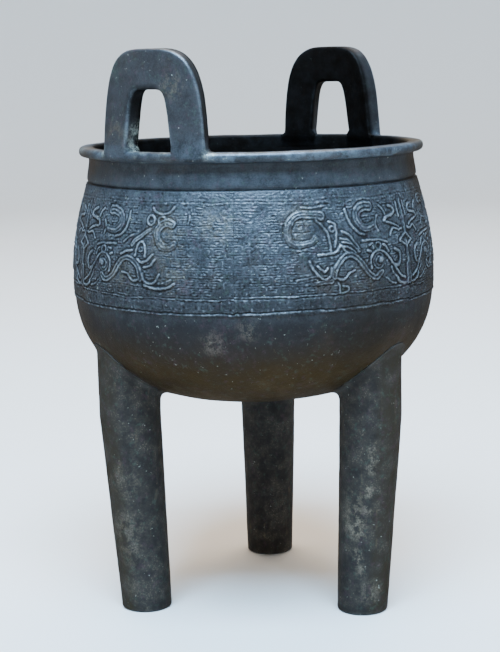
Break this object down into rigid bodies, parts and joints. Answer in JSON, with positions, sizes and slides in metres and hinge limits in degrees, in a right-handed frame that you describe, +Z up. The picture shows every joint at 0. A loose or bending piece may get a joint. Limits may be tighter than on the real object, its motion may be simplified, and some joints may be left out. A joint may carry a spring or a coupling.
{
  "type": "bronze ding vessel",
  "caption": "Round cast vessel on straight tapering legs, with upright loop handles on its flanged lip and a band of mask relief round its belly, for cooking or offering food.",
  "frame": {"origin": "on the bowl's axis, at the level of the undersides of the feet", "axes": "+Z up along the bowl's axis; one leg is on -Y, the others at 30 and 150 degrees from +X; the handles stand 1.6 degrees anticlockwise of +X and -X"},
  "size_m": [0.1836, 0.1833, 0.279],
  "materials": {
    "bronze": "dark patinated cast bronze, satin, rubbed paler on the raised lines"
  },
  "bodies": {
    "root": {"ding_vessel": "bronze"}
  },
  "joints": []
}
